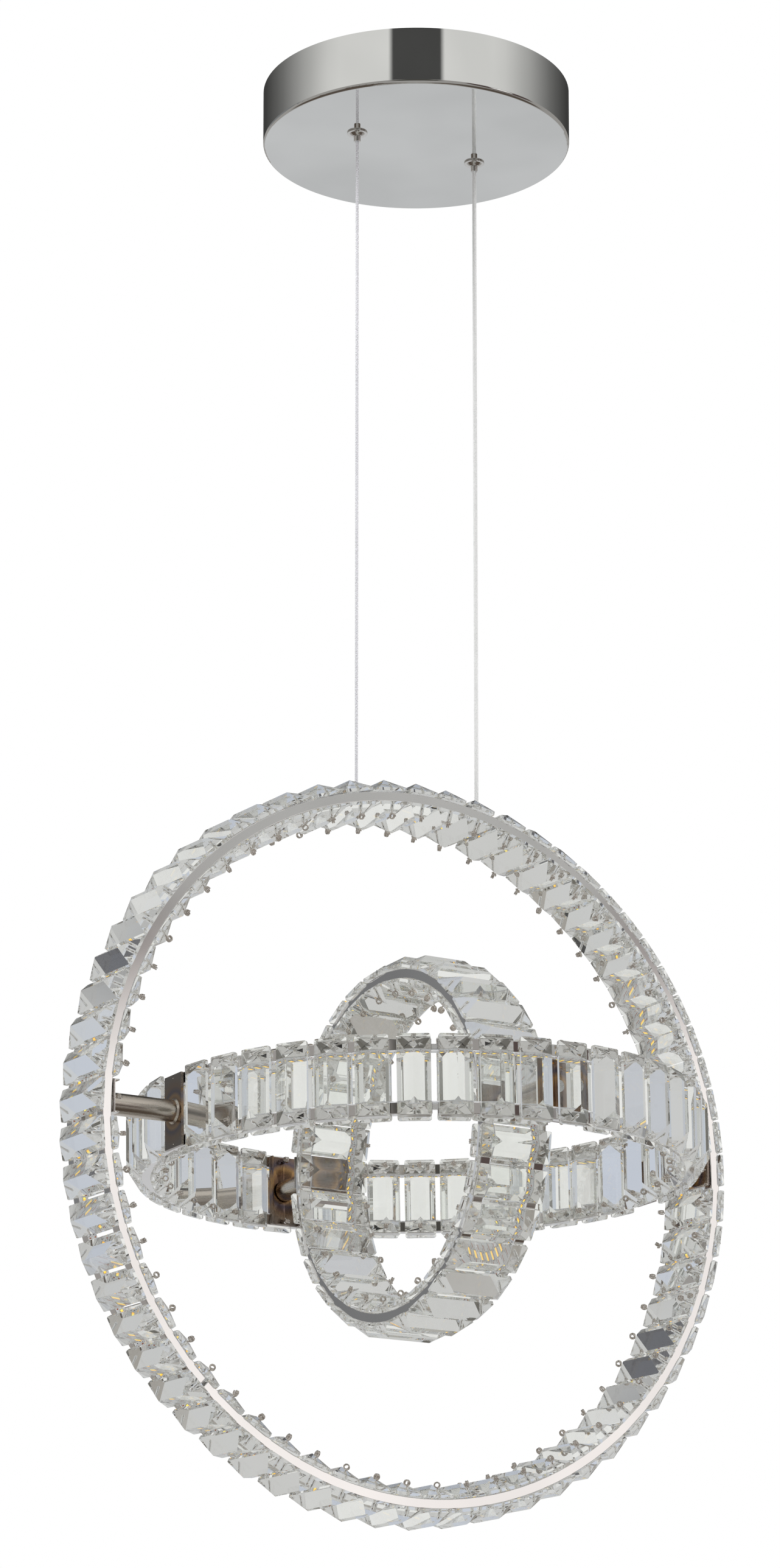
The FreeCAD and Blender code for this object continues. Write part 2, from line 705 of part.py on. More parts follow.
def crossbar():
    bar = centred_box(2 * ear_outside, crossbar_width, crossbar_thickness,
                      Vector(0, 0, -crossbar_thickness / 2))
    ears = []
    for side in (-1, 1):
        middle = Vector(side * (ear_outside - crossbar_thickness / 2), 0, -crossbar_ear / 2)
        ears.append(centred_box(crossbar_thickness, crossbar_width, crossbar_ear, middle))
    bar = bar.multiFuse(ears).removeSplitter()
    depth = crossbar_thickness + 2 * cut_overrun
    low = -crossbar_thickness - cut_overrun
    tools = [Part.makeCylinder(wire_hole_diameter / 2, depth, Vector(wire_hole_place, 0, low))]
    for side in (-1, 1):
        place = Vector(side * ceiling_hole_pcd / 2, 0, low)
        tools.append(Part.makeCylinder(ceiling_hole_diameter / 2, depth, place))
        start = Vector(side * (ear_outside - crossbar_thickness - cut_overrun), 0, -side_screw_drop)
        tools.append(Part.makeCylinder(side_screw_diameter / 2 + slide_gap, depth, start, X_AXIS * side))
    screw_place = Vector(ground_screw_place, 0, low)
    tools.append(Part.makeCylinder(ground_screw_diameter / 2 + slide_gap, depth, screw_place))
    return bar.cut(tools)


def side_screw_shape(side, extra):
    head_face = canopy_radius
    head = Part.makeCone(side_screw_head / 2 + extra, side_screw_diameter / 2 + extra, side_screw_cone,
                         Vector(side * head_face, 0, -side_screw_drop), X_AXIS * -side)
    shank = Part.makeCylinder(side_screw_diameter / 2 + extra, side_screw_length,
                              Vector(side * head_face, 0, -side_screw_drop), X_AXIS * -side)
    return head.fuse(shank)


def side_screw(side):
    return side_screw_shape(side, 0.0).removeSplitter()


def side_screw_tool(side):
    outside = Part.makeCylinder(side_screw_head / 2 + slide_gap, cut_overrun,
                                Vector(side * (canopy_radius + cut_overrun), 0, -side_screw_drop),
                                X_AXIS * -side)
    return side_screw_shape(side, slide_gap).fuse(outside)


def ground_screw():
    head = Part.makeCylinder(ground_screw_head / 2, ground_screw_head_height,
                             Vector(ground_screw_place, 0, -crossbar_thickness - ground_screw_head_height))
    shank = Part.makeCylinder(ground_screw_diameter / 2, ground_screw_length,
                              Vector(ground_screw_place, 0, -crossbar_thickness - ground_screw_length))
    stub = Part.makeCylinder(ground_screw_diameter / 2, crossbar_thickness,
                             Vector(ground_screw_place, 0, -crossbar_thickness))
    return head.multiFuse([shank, stub]).removeSplitter()


def rounded_block(length, width, height, centre):
    block = centred_box(length, width, height, centre)
    upright = [e for e in block.Edges if e.BoundBox.ZLength > height / 2]
    return block.makeFillet(driver_corner, upright)


def driver_and_terminal():
    floor = canopy_inside + seat_gap
    pad_top = floor + pad_thickness
    case_height = driver_height - driver_lid
    case = rounded_block(driver_length, driver_width, case_height,
                         Vector(0, driver_offset, pad_top + case_height / 2))
    lid = rounded_block(driver_length, driver_width, driver_lid,
                        Vector(0, driver_offset, pad_top + case_height + driver_lid / 2))
    driver_pad = centred_box(driver_length - 2 * driver_corner, driver_width - 2 * driver_corner,
                             pad_thickness, Vector(0, driver_offset, floor + pad_thickness / 2))
    terminal_middle = Vector(0, -terminal_offset, pad_top + terminal_height / 2)
    block = centred_box(terminal_length, terminal_width, terminal_height, terminal_middle)
    pitch = terminal_length / terminal_holes
    tools = []
    for k in range(terminal_holes):
        entry = terminal_middle + Vector((2 * k + 1 - terminal_holes) * pitch / 2, -terminal_width / 2, 0)
        tools.append(Part.makeCylinder(terminal_hole_diameter / 2, terminal_hole_depth, entry, Y_AXIS))
    terminal_pad = centred_box(terminal_length, terminal_width, pad_thickness,
                               Vector(0, -terminal_offset, floor + pad_thickness / 2))
    return [([case], "driver_case"), ([lid], "driver_lid"), ([block.cut(tools)], "terminal_block"),
            ([driver_pad, terminal_pad], "foam_pads")]


# Cable grippers: turned bodies with a sprung plunger round the cable

def gripper_body(cable_diameter):
    flange = Part.makeCylinder(gripper_flange_diameter / 2, gripper_flange_thickness,
                               Vector(0, 0, -gripper_flange_thickness))
    cone = Part.makeCone(gripper_nose_diameter / 2, gripper_cone_diameter / 2, gripper_cone_height,
                         Vector(0, 0, -gripper_flange_thickness - gripper_cone_height))
    shank = Part.makeCylinder(gripper_shank_diameter / 2, gripper_shank_length + canopy_floor,
                              Vector(0, 0, 0))
    body = flange.multiFuse([cone, shank]).removeSplitter()
    cavity_height = gripper_shank_length + canopy_floor - gripper_cap - gripper_floor
    cavity = Part.makeCylinder(gripper_cavity_diameter / 2, cavity_height, Vector(0, 0, gripper_floor))
    nose_low = -gripper_flange_thickness - gripper_cone_height - cut_overrun
    nose = Part.makeCylinder(plunger_diameter / 2 + slide_gap, gripper_floor - nose_low + cut_overrun,
                             Vector(0, 0, nose_low))
    cable_hole = Part.makeCylinder(cable_diameter / 2 + cable_gap, gripper_shank_length + canopy_floor,
                                   Vector(0, 0, cut_overrun))
    return body.cut([cavity, nose, cable_hole])


def plunger(cable_diameter):
    low = -gripper_flange_thickness - gripper_cone_height - plunger_reach
    head_low = gripper_floor + seat_gap
    stem = Part.makeCylinder(plunger_diameter / 2, head_low - low, Vector(0, 0, low))
    head = Part.makeCylinder(plunger_head_diameter / 2, plunger_head_height, Vector(0, 0, head_low))
    bore = Part.makeCylinder(cable_diameter / 2 + cable_gap, head_low + plunger_head_height - low,
                             Vector(0, 0, low))
    return stem.fuse(head).cut(bore)


def coil_spring(outer_radius, height):
    radius = outer_radius - spring_wire_diameter / 2
    rise = height - spring_wire_diameter
    path = Part.makeHelix(rise / spring_turns, rise, radius)
    wire_end = Part.Circle(Vector(radius, 0, 0), Y_AXIS, spring_wire_diameter / 2).toShape()
    return Part.Wire(path.Edges).makePipeShell([Part.Wire([wire_end])], True, True)


def gripper_pieces(cable_diameter):
    head_top = gripper_floor + seat_gap + plunger_head_height
    spring_low = head_top + seat_gap
    spring_top = gripper_shank_length + canopy_floor - gripper_cap - seat_gap
    spring = coil_spring(gripper_cavity_diameter / 2 - slide_gap, spring_top - spring_low)
    spring.translate(Vector(0, 0, spring_low + spring_wire_diameter / 2))
    ball_radius = ball_diameter / 2
    ball_place = Vector(cable_diameter / 2 + slide_gap + ball_radius, 0, spring_low + ball_radius)
    ball = Part.makeSphere(ball_radius, ball_place)
    balls = [turned(ball, k * FULL_TURN / ball_count) for k in range(ball_count)]
    nut = tube(gripper_nut_diameter / 2, gripper_shank_diameter / 2 + slide_gap, gripper_nut_height,
               Vector(0, 0, canopy_floor + seat_gap), Z_AXIS)
    return spring, balls, nut


def build_grippers():
    bodies = []
    nuts = []
    for x, diameter, side in ((-cable_spread, steel_cable_diameter, "left"),
                              (cable_spread, power_cable_diameter, "right")):
        place = FreeCAD.Placement(Vector(x, 0, canopy_underside), FreeCAD.Rotation())
        spring, balls, nut = gripper_pieces(diameter)
        bodies += placed([gripper_body(diameter)], place)
        nuts += placed([nut], place)
        export(placed([plunger(diameter)], place), side + "_gripper_plunger")
        export(placed(balls, place), side + "_gripper_balls")
        export(placed([spring], place), side + "_gripper_spring")
    export(bodies, "gripper_bodies")
    export(nuts, "gripper_nuts")


def main():
    os.makedirs("parts", exist_ok=True)
    crystal = drilled_crystal()
    build_canopy()
    build_grippers()
    hangers_and_cables()
    large_plate_inner = build_large_ring(crystal)
    medium_plate_inner = build_medium_ring(crystal, large_plate_inner)
    build_small_ring(crystal, medium_plate_inner)
    print("cable spread", round(cable_spread, 2), "large ring centre x", round(large_centre_x, 2))


main()
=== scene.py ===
import json
import math

import bpy
import numpy as np
from mathutils import Euler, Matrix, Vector


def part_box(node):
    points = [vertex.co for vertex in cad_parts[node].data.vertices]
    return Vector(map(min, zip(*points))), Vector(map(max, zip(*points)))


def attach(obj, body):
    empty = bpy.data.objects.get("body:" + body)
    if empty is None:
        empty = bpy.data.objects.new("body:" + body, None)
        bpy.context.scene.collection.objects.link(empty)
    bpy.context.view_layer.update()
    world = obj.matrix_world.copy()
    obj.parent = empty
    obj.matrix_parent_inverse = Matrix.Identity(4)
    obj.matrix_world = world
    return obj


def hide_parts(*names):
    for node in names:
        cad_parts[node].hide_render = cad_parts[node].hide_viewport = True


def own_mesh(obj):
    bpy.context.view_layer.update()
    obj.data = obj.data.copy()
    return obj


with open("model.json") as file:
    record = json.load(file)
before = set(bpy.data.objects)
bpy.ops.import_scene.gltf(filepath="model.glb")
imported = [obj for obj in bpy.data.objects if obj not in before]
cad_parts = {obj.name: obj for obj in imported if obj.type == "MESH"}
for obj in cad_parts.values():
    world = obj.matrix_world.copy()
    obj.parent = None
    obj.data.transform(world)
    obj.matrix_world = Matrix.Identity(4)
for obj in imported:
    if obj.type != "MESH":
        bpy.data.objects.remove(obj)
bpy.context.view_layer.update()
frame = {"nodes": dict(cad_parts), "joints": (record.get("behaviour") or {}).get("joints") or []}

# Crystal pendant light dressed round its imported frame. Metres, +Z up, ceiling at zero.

nodes = frame["nodes"]
joints = {j["name"]: j for j in frame["joints"]}
MM = 0.001

# Camera, at the photograph's viewing angle
camera_place = Vector((-1.899, -3.026, -1.623))
camera_yaw = 31.76
camera_pitch = 10.5
camera_lens = 104.41
camera_shift = 0.28
sensor_width = 36.0
farthest_seen = 100.0

# Room
floor_height = -2.3
floor_size = 14.0
floor_level = 0.86
floor_roughness = 0.8
room_level = 0.75
light_bounces = 40

# Lamps: degrees to the right of the camera's view, height, distance, size, power
LAMPS = {
    "key": (-110, 50, 3.0, 1.6, 60),
    "fill": (110, 25, 3.5, 2.0, 40),
}

# Edge roundings of the carried-over solids, and the degrees of turn from which an edge is rounded or sharp
glass_edge = 0.35 * MM
metal_edge = 0.25 * MM
rail_edge = 0.7 * MM
sheet_edge = 0.3 * MM
glass_edge_steps = 1
metal_edge_steps = 2
sheet_edge_steps = 2
rail_edge_steps = 3
same_place = 2e-6             # points closer than this are one
rounded_from = 28.0
metal_sharpest = 32.0
facet_sharpest = 16.0

# Wound wire pins
wire_radius = 0.58 * MM
eye_turns = 2.3
eye_pitch = 1.35 * MM
eye_roll = math.pi / 2        # the coil's own axis runs round the ring
eye_roll_spread = 0.75
eye_radius = 2.1 * MM
wire_sides = 7
turn_points = 14
bend_wires = 2.5              # wire radii between the eye's rim and the straight wire
pin_seed = 7
askew = (0.31, 0.57, 0.76)    # a direction that no wire or cable runs along

# Cables
steel_strands = 6
steel_wires_across = 3
steel_lay = 10 * MM
steel_wire_sides = 6
braid_strands = 8
braid_lay = 15 * MM
braid_wire_share = 0.055      # these three are radii, as shares of the cable's diameter
braid_offset_share = 0.36
braid_core_share = 0.3
braid_wire_sides = 5
braid_core_sides = 12
sheath_sides = 20
sheath_cover = 0.22
route_points_per_span = 150
route_order = 3

# Lenses on the LED packages, a yellow half and an amber half in each
lens_share = 0.78
lens_top_share = 0.85
lens_proud = 0.12 * MM
turn_decimals = 5             # LEDs whose turns agree this far stand opposite each other
# painted glow: the lenses emit their own colour in place of the light the phosphor gives back
painted_phosphor_glow = 1.1
strip_glow = 0.2              # stands in for the daylight that the crystals gather onto it

RING_BODIES = {"large": "large_ring", "medium": "medium_ring", "small": "small_ring"}
RING_RAILS = {
    "large": ("large_front_rail", "large_back_rail"),
    "medium": ("medium_upper_rail", "medium_lower_rail"),
    "small": ("small_front_rail", "small_back_rail"),
}
pivot = Vector(joints["medium_ring_pivot"]["pos_m"])


# Node graphs

class Graph:
    """A small helper that adds nodes and links them in one call each."""

    def __init__(self, tree):
        self.tree = tree
        tree.nodes.clear()

    def put(self, socket, value):
        if isinstance(value, bpy.types.NodeSocket):
            self.tree.links.new(value, socket)
        else:
            socket.default_value = value

    def add(self, kind, settings=None, **inputs):
        """Adds a node. Inputs go by their names, or by in and their number."""
        node = self.tree.nodes.new(kind)
        for name, value in (settings or {}).items():
            setattr(node, name, value)
        for name, value in inputs.items():
            key = int(name[2:]) if name.startswith("in") else name.replace("_", " ")
            self.put(node.inputs[key], value)
        return node

    def math(self, operation, *values):
        inputs = {"in" + str(k): v for k, v in enumerate(values)}
        return self.add("ShaderNodeMath", {"operation": operation}, **inputs).outputs[0]

    def vector(self, operation, *values):
        inputs = {"in" + str(k): v for k, v in enumerate(values)}
        node = self.add("ShaderNodeVectorMath", {"operation": operation}, **inputs)
        return node.outputs["Value" if operation in ("DISTANCE", "DOT_PRODUCT") else "Vector"]

    def ramp(self, factor, stops):
        node = self.add("ShaderNodeValToRGB", None, in0=factor)
        elements = node.color_ramp.elements
        while len(elements) < len(stops):
            elements.new(0.5)
        for element, (place, colour) in zip(elements, stops):
            element.position = place
            element.color = (*colour, 1.0)
        return node.outputs[0]

    def spread(self, value, low, high, to_low, to_high):
        settings = {"interpolation_type": "SMOOTHSTEP"}
        return self.add("ShaderNodeMapRange", settings, in0=value, in1=low, in2=high, in3=to_low,
                        in4=to_high).outputs[0]

    def noise(self, vector, scale, detail, roughness=0.5):
        return self.add("ShaderNodeTexNoise", None, Vector=vector, Scale=scale, Detail=detail,
                        Roughness=roughness).outputs[0]

    def bump(self, height, strength, distance):
        return self.add("ShaderNodeBump", None, Height=height, Strength=strength,
                        Distance=distance).outputs[0]

    def mix(self, factor, first, second):
        node = self.add("ShaderNodeMix", {"data_type": "RGBA"})
        for socket, value in ((node.inputs[0], factor), (node.inputs[6], first), (node.inputs[7], second)):
            self.put(socket, value)
        return node.outputs[2]


def material(name):
    """A new material, with its graph and the place that its patterns follow."""
    made = bpy.data.materials.new(name)
    made.use_nodes = True
    graph = Graph(made.node_tree)
    place = graph.add("ShaderNodeTexCoord").outputs["Object"]
    return made, graph, place


def finish(graph, **inputs):
    shader = graph.add("ShaderNodeBsdfPrincipled", None, **inputs)
    graph.add("ShaderNodeOutputMaterial", None, in0=shader.outputs[0])


def grey(value):
    return (value, value, value, 1.0)


def darker(share, colour):
    return tuple(share * c for c in colour)


# Materials. A noise lies mostly between these two levels.
noise_low = 0.3
noise_high = 0.7

glass_ior = 1.54
glass_cloud_scale = 25.0
glass_cloud_detail = 2.0
GLASS_TINTS = [(noise_low, (0.975, 0.985, 0.97)), (noise_high, (0.995, 1.0, 0.995))]


def crystal_material():
    """Clear cut glass, faintly clouded."""
    made, graph, place = material("crystal_glass")
    cloud = graph.noise(place, glass_cloud_scale, glass_cloud_detail)
    finish(graph, Base_Color=graph.ramp(cloud, GLASS_TINTS), Roughness=0.0, IOR=glass_ior,
           Transmission_Weight=1.0)
    return made


# Polished metal: colour, roughness, scale and strength of the marks, how far it is a metal
POLISHED = {
    "canopy_chrome": ((0.83, 0.84, 0.83), 0.035, 60.0, 0.01, 1.0),
    "rail_chrome": ((0.88, 0.865, 0.855), 0.06, 12.0, 0.002, 1.0),
    "wire_nickel": ((0.84, 0.79, 0.74), 0.05, 700.0, 0.01, 1.0),
    "turned_nickel": ((0.78, 0.77, 0.75), 0.09, 500.0, 0.05, 1.0),
    "zinc_plate": ((0.66, 0.67, 0.68), 0.26, 800.0, 0.15, 1.0),
    "turned_brass": ((0.80, 0.60, 0.28), 0.2, 600.0, 0.08, 1.0),
    "joiner_sheet": ((0.78, 0.77, 0.75), 0.4, 500.0, 0.02, 0.2),
    "cable_steel": ((0.93, 0.93, 0.97), 0.25, 900.0, 0.05, 0.35),
    "braid_wire": ((0.95, 0.95, 0.94), 0.3, 900.0, 0.05, 0.1),
}
mark_detail = 4.0
mark_depth = 0.5 * MM
metal_cloud_scale = 9.0
metal_cloud_detail = 2.0
metal_cloud_low = 0.35
metal_cloud_high = 0.65
metal_shade_share = 0.9
smoothest_share = 0.6
roughest_share = 1.5


def polished_material(name, colour, roughness, mark_scale, mark_strength, metallic):
    """Bright plated or polished metal with faint polishing marks."""
    made, graph, place = material(name)
    marks = graph.noise(place, mark_scale, mark_detail)
    cloud = graph.noise(place, metal_cloud_scale, metal_cloud_detail)
    shade = darker(metal_shade_share, colour)
    tone = graph.ramp(cloud, [(metal_cloud_low, shade), (metal_cloud_high, colour)])
    rough = graph.spread(marks, noise_low, noise_high, roughness * smoothest_share,
                         roughness * roughest_share)
    finish(graph, Base_Color=tone, Metallic=metallic, Roughness=rough,
           Normal=graph.bump(marks, mark_strength, mark_depth))
    return made


# Brushed steel: colour, how often the lines change along each axis, roughness
BRUSHED = {
    "bright_sheet": ((0.74, 0.73, 0.71), (60.0, 60.0, 900.0), 0.14),
    "tube_steel_x": ((0.70, 0.64, 0.57), (14.0, 500.0, 500.0), 0.2),
    "tube_steel_y": ((0.70, 0.64, 0.57), (500.0, 14.0, 500.0), 0.2),
}
line_detail = 5.0
line_roughness = 0.7
line_shade_share = 0.82
line_rough_share = 1.6
line_strength = 0.08
line_depth = 0.4 * MM


def brushed_material(name, colour, stretch, roughness):
    """Brushed steel: fine lines drawn out along one axis."""
    made, graph, place = material(name)
    stretched = graph.add("ShaderNodeMapping", None, Vector=place, Scale=stretch).outputs[0]
    lines = graph.noise(stretched, 1.0, line_detail, line_roughness)
    tone = graph.ramp(lines, [(noise_low, darker(line_shade_share, colour)), (noise_high, colour)])
    rough = graph.spread(lines, noise_low, noise_high, roughness, roughness * line_rough_share)
    finish(graph, Base_Color=tone, Metallic=1.0, Roughness=rough,
           Normal=graph.bump(lines, line_strength, line_depth))
    return made


# Sheet tinted by heat: its node, which of its plates the tint runs round, reach, strength, colour far away
TINTED = {
    "tinted_large": ("large_bracket_plates", (1,), 0.055, 1.0, (0.80, 0.78, 0.75)),
    "tinted_medium": ("medium_inner_plates", (0, 1), 0.05, 0.95, (0.22, 0.18, 0.15)),
    "tinted_outer": ("medium_outer_plates", (0, 1), 0.04, 0.8, (0.22, 0.18, 0.15)),
    "tinted_small": ("small_outer_plates", (0, 1), 0.04, 0.7, (0.22, 0.18, 0.15)),
}
# Share of the reach, and the colour there
TINTS = [
    (0.30, (0.035, 0.026, 0.02)), (0.46, (0.16, 0.08, 0.04)), (0.56, (0.42, 0.24, 0.09)),
    (0.64, (0.10, 0.08, 0.11)), (0.76, (0.24, 0.15, 0.09)),
]
far_tint_place = 0.95
untinted_steel = (0.68, 0.66, 0.63, 1.0)
waver_scale = 18.0
waver_detail = 1.0
WAVER = (0.2, 0.8, 0.19, 0.31)      # noise levels, and the shift at each
sheet_grain_scale = 700.0
sheet_grain_detail = 3.0
sheet_grain_strength = 0.04
sheet_grain_depth = 0.3 * MM
sheet_smoothest = 0.14
sheet_roughest = 0.22


def plate_centres(node, ends_used):
    """The middle of each plate of a node that holds two, at the lower (0) or higher (1) end of an axle."""
    low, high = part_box(node)
    size = high - low
    axis = 0 if size.x > size.y else 1
    ends = []
    for place in [(low[axis], high[axis])[end] for end in ends_used]:
        centre = pivot.copy()
        centre[axis] = place
        ends.append(tuple(centre))
    return ends


def tinted_material(name, node, ends_used, reach, strength, far):
    """Stainless sheet with the rings of colour that the heat of welding leaves round a plate's middle."""
    made, graph, place = material(name)
    nearest = None
    for centre in plate_centres(node, ends_used):
        away = graph.vector("DISTANCE", place, centre)
        nearest = away if nearest is None else graph.math("MINIMUM", nearest, away)
    waver = graph.spread(graph.noise(place, waver_scale, waver_detail), *WAVER)
    shifted = graph.math("ADD", graph.math("DIVIDE", nearest, reach), waver)
    tint = graph.ramp(shifted, TINTS + [(far_tint_place, far)])
    grain = graph.noise(place, sheet_grain_scale, sheet_grain_detail)
    finish(graph, Base_Color=graph.mix(strength, untinted_steel, tint), Metallic=1.0,
           Roughness=graph.spread(grain, noise_low, noise_high, sheet_smoothest, sheet_roughest),
           Normal=graph.bump(grain, sheet_grain_strength, sheet_grain_depth))
    return made


# Plastics: colour, roughness
PLASTICS = {
    "white_plastic": ((0.86, 0.86, 0.84), 0.45),
    "led_package": ((0.88, 0.87, 0.82), 0.35),
    "black_foam": ((0.03, 0.03, 0.032), 0.9),
}
plastic_grain_scale = 1500.0
plastic_cloud_scale = 40.0
plastic_detail = 2.0
plastic_shade_share = 0.93
plastic_grain_strength = 0.12
plastic_grain_depth = 0.2 * MM


def plastic_material(name, colour, roughness):
    made, graph, place = material(name)
    grain = graph.noise(place, plastic_grain_scale, plastic_detail)
    cloud = graph.noise(place, plastic_cloud_scale, plastic_detail)
    tone = graph.ramp(cloud, [(noise_low, darker(plastic_shade_share, colour)), (noise_high, colour)])
    finish(graph, Base_Color=tone, Roughness=roughness,
           Normal=graph.bump(grain, plastic_grain_strength, plastic_grain_depth))
    return made


# What is printed or soldered on the strip between two LEDs: place and half width along the spacing,
# distance and half width from the strip's middle line, colour
STRIP_MARKS = [
    (0.66, 0.060, 2.3 * MM, 0.8 * MM, (0.45, 0.14, 0.06)),
    (0.37, 0.035, 1.5 * MM, 0.7 * MM, (0.03, 0.03, 0.032)),
    (0.50, 0.012, 0.0, 4.0 * MM, (0.45, 0.46, 0.47)),
    (0.50, 0.030, 3.1 * MM, 0.4 * MM, (0.06, 0.06, 0.06)),
]
STRIP_TINTS = [(noise_low, (0.86, 0.88, 0.90)), (noise_high, (0.93, 0.94, 0.95))]
strip_grain_scale = 300.0
strip_grain_detail = 2.0
strip_grain_strength = 0.1
strip_grain_depth = 0.2 * MM
strip_roughness = 0.4


def strip_material(ring):
    """Pale flexible circuit with copper pads and small black parts between the LEDs."""
    centre, axis = RINGS[ring]
    first, spacing, middle_radius = led_rhythm(ring)
    across = reference(axis)
    made, graph, place = material(ring + "_led_circuit")
    offset = graph.vector("SUBTRACT", place, tuple(centre))
    sides = [graph.vector("DOT_PRODUCT", offset, tuple(side)) for side in (across, np.cross(axis, across))]
    turn = graph.math("ARCTAN2", sides[1], sides[0])
    step = graph.math("FRACT", graph.math("DIVIDE", graph.math("SUBTRACT", turn, first), spacing))
    square = graph.math("ADD", graph.math("POWER", sides[0], 2.0), graph.math("POWER", sides[1], 2.0))
    away = graph.math("ABSOLUTE", graph.math("SUBTRACT", graph.math("SQRT", square), middle_radius))
    grain = graph.noise(place, strip_grain_scale, strip_grain_detail)
    colour = graph.ramp(grain, STRIP_TINTS)
    for along, half_along, aside, half_aside, tone in STRIP_MARKS:
        mark = graph.math("MULTIPLY", graph.math("COMPARE", step, along, half_along),
                          graph.math("COMPARE", away, aside, half_aside))
        colour = graph.mix(mark, colour, (*tone, 1.0))
    finish(graph, Base_Color=colour, Roughness=strip_roughness, Emission_Color=colour,
           Emission_Strength=strip_glow, Normal=graph.bump(grain, strip_grain_strength, strip_grain_depth))
    return made


LENS_COLOURS = {"amber_lens": (0.98, 0.52, 0.06), "yellow_lens": (0.82, 0.68, 0.15)}
lens_grain_scale = 1200.0
lens_grain_detail = 2.0
lens_grain_strength = 0.1
lens_grain_depth = 0.2 * MM
lens_shade_share = 0.85
lens_roughness = 0.35
lens_coat = 0.3
lens_coat_roughness = 0.08


def lens_material(name, colour):
    """Phosphor, whose painted glow stands in for the daylight it gives back."""
    made, graph, place = material(name)
    grain = graph.noise(place, lens_grain_scale, lens_grain_detail)
    tone = graph.ramp(grain, [(noise_low, darker(lens_shade_share, colour)), (noise_high, colour)])
    finish(graph, Base_Color=tone, Roughness=lens_roughness, Coat_Weight=lens_coat,
           Coat_Roughness=lens_coat_roughness, Emission_Color=(*colour, 1.0), Emission_Strength=painted_phosphor_glow,
           Normal=graph.bump(grain, lens_grain_strength, lens_grain_depth))
    return made


sheath_colour = (0.97, 0.975, 0.98, 1.0)
sheath_roughness = 0.08
sheath_grain_scale = 400.0
sheath_grain_detail = 2.0
sheath_grain_strength = 0.05
sheath_grain_depth = 0.3 * MM


def sheath_material():
    """Clear soft plastic over the braid."""
    made, graph, place = material("clear_sheath")
    grain = graph.noise(place, sheath_grain_scale, sheath_grain_detail)
    finish(graph, Base_Color=sheath_colour, Roughness=sheath_roughness, Alpha=sheath_cover,
           Normal=graph.bump(grain, sheath_grain_strength, sheath_grain_depth))
    return made


finishes = {"crystal_glass": crystal_material(), "clear_sheath": sheath_material()}
finishes.update({name: polished_material(name, *recipe) for name, recipe in POLISHED.items()})
finishes.update({name: brushed_material(name, *recipe) for name, recipe in BRUSHED.items()})
finishes.update({name: tinted_material(name, *recipe) for name, recipe in TINTED.items()})
finishes.update({name: plastic_material(name, *recipe) for name, recipe in PLASTICS.items()})
finishes.update({name: lens_material(name, colour) for name, colour in LENS_COLOURS.items()})

NODE_FINISHES = {
    "canopy_cup": "canopy_chrome", "canopy_side_screws": "zinc_plate", "ceiling_crossbar": "zinc_plate",
    "ground_screw": "zinc_plate", "driver_case": "white_plastic", "driver_lid": "white_plastic",
    "terminal_block": "white_plastic", "foam_pads": "black_foam", "gripper_bodies": "turned_nickel",
    "gripper_nuts": "turned_nickel", "cable_hanger_bars": "bright_sheet", "cable_stops": "zinc_plate",
    "large_bracket_plates": "tinted_large", "medium_inner_plates": "tinted_medium",
    "medium_outer_plates": "tinted_outer", "small_outer_plates": "tinted_small",
    "medium_link_tubes": "tube_steel_x", "small_link_tubes": "tube_steel_y",
}
ENDING_FINISHES = {
    "_crystals": "crystal_glass", "_rail": "rail_chrome", "_led_chips": "led_package",
    "_rail_joiners": "joiner_sheet", "_plunger": "turned_nickel", "_balls": "zinc_plate",
    "_spring": "zinc_plate", "_axle_bolts": "zinc_plate", "_axle_washers": "zinc_plate",
    "_tube_plugs": "turned_brass", "_crystal_pins": "wire_nickel", "_cable": "cable_steel",
}
SHEET_ENDINGS = ("_bodies", "_nuts", "_plunger", "crossbar", "_case", "_lid", "_block", "_bars")


# Carried-over solids: materials, and small roundings that catch the light

def new_group(name):
    """A geometry node group with its two ends, to be linked by the caller."""
    group = bpy.data.node_groups.new(name, "GeometryNodeTree")
    for end in ("INPUT", "OUTPUT"):
        group.interface.new_socket("Geometry", in_out=end, socket_type="NodeSocketGeometry")
    return group, group.nodes.new("NodeGroupInput").outputs[0], group.nodes.new("NodeGroupOutput").inputs[0]


def clean_normals_group():
    """Joins the facets' shared corners and drops the stored normals, so that edges can be rounded."""
    group, start, end = new_group("clean_normals")
    merge = group.nodes.new("GeometryNodeMergeByDistance")
    merge.inputs["Distance"].default_value = same_place
    drop = group.nodes.new("GeometryNodeRemoveAttribute")
    drop.inputs["Name"].default_value = "custom_normal"
    group.links.new(start, merge.inputs["Geometry"])
    group.links.new(merge.outputs[0], drop.inputs["Geometry"])
    group.links.new(drop.outputs[0], end)
    return group


def smooth_group(name, sharpest):
    """Smooth shading, except across edges that turn by more than so many degrees."""
    group, start, end = new_group(name)
    faces = group.nodes.new("GeometryNodeSetShadeSmooth")
    angle = group.nodes.new("GeometryNodeInputMeshEdgeAngle")
    compare = group.nodes.new("FunctionNodeCompare")
    compare.operation = "GREATER_THAN"
    compare.inputs[1].default_value = math.radians(sharpest)
    edges = group.nodes.new("GeometryNodeSetShadeSmooth")
    edges.domain = "EDGE"
    edges.inputs["Shade Smooth"].default_value = False
    group.links.new(start, faces.inputs["Geometry"])
    group.links.new(faces.outputs[0], edges.inputs["Geometry"])
    group.links.new(angle.outputs["Unsigned Angle"], compare.inputs[0])
    group.links.new(compare.outputs[0], edges.inputs["Selection"])
    group.links.new(edges.outputs[0], end)
    return group


clean_normals = clean_normals_group()
soft_shading = smooth_group("soft_shading", metal_sharpest)
facet_shading = smooth_group("facet_shading", facet_sharpest)


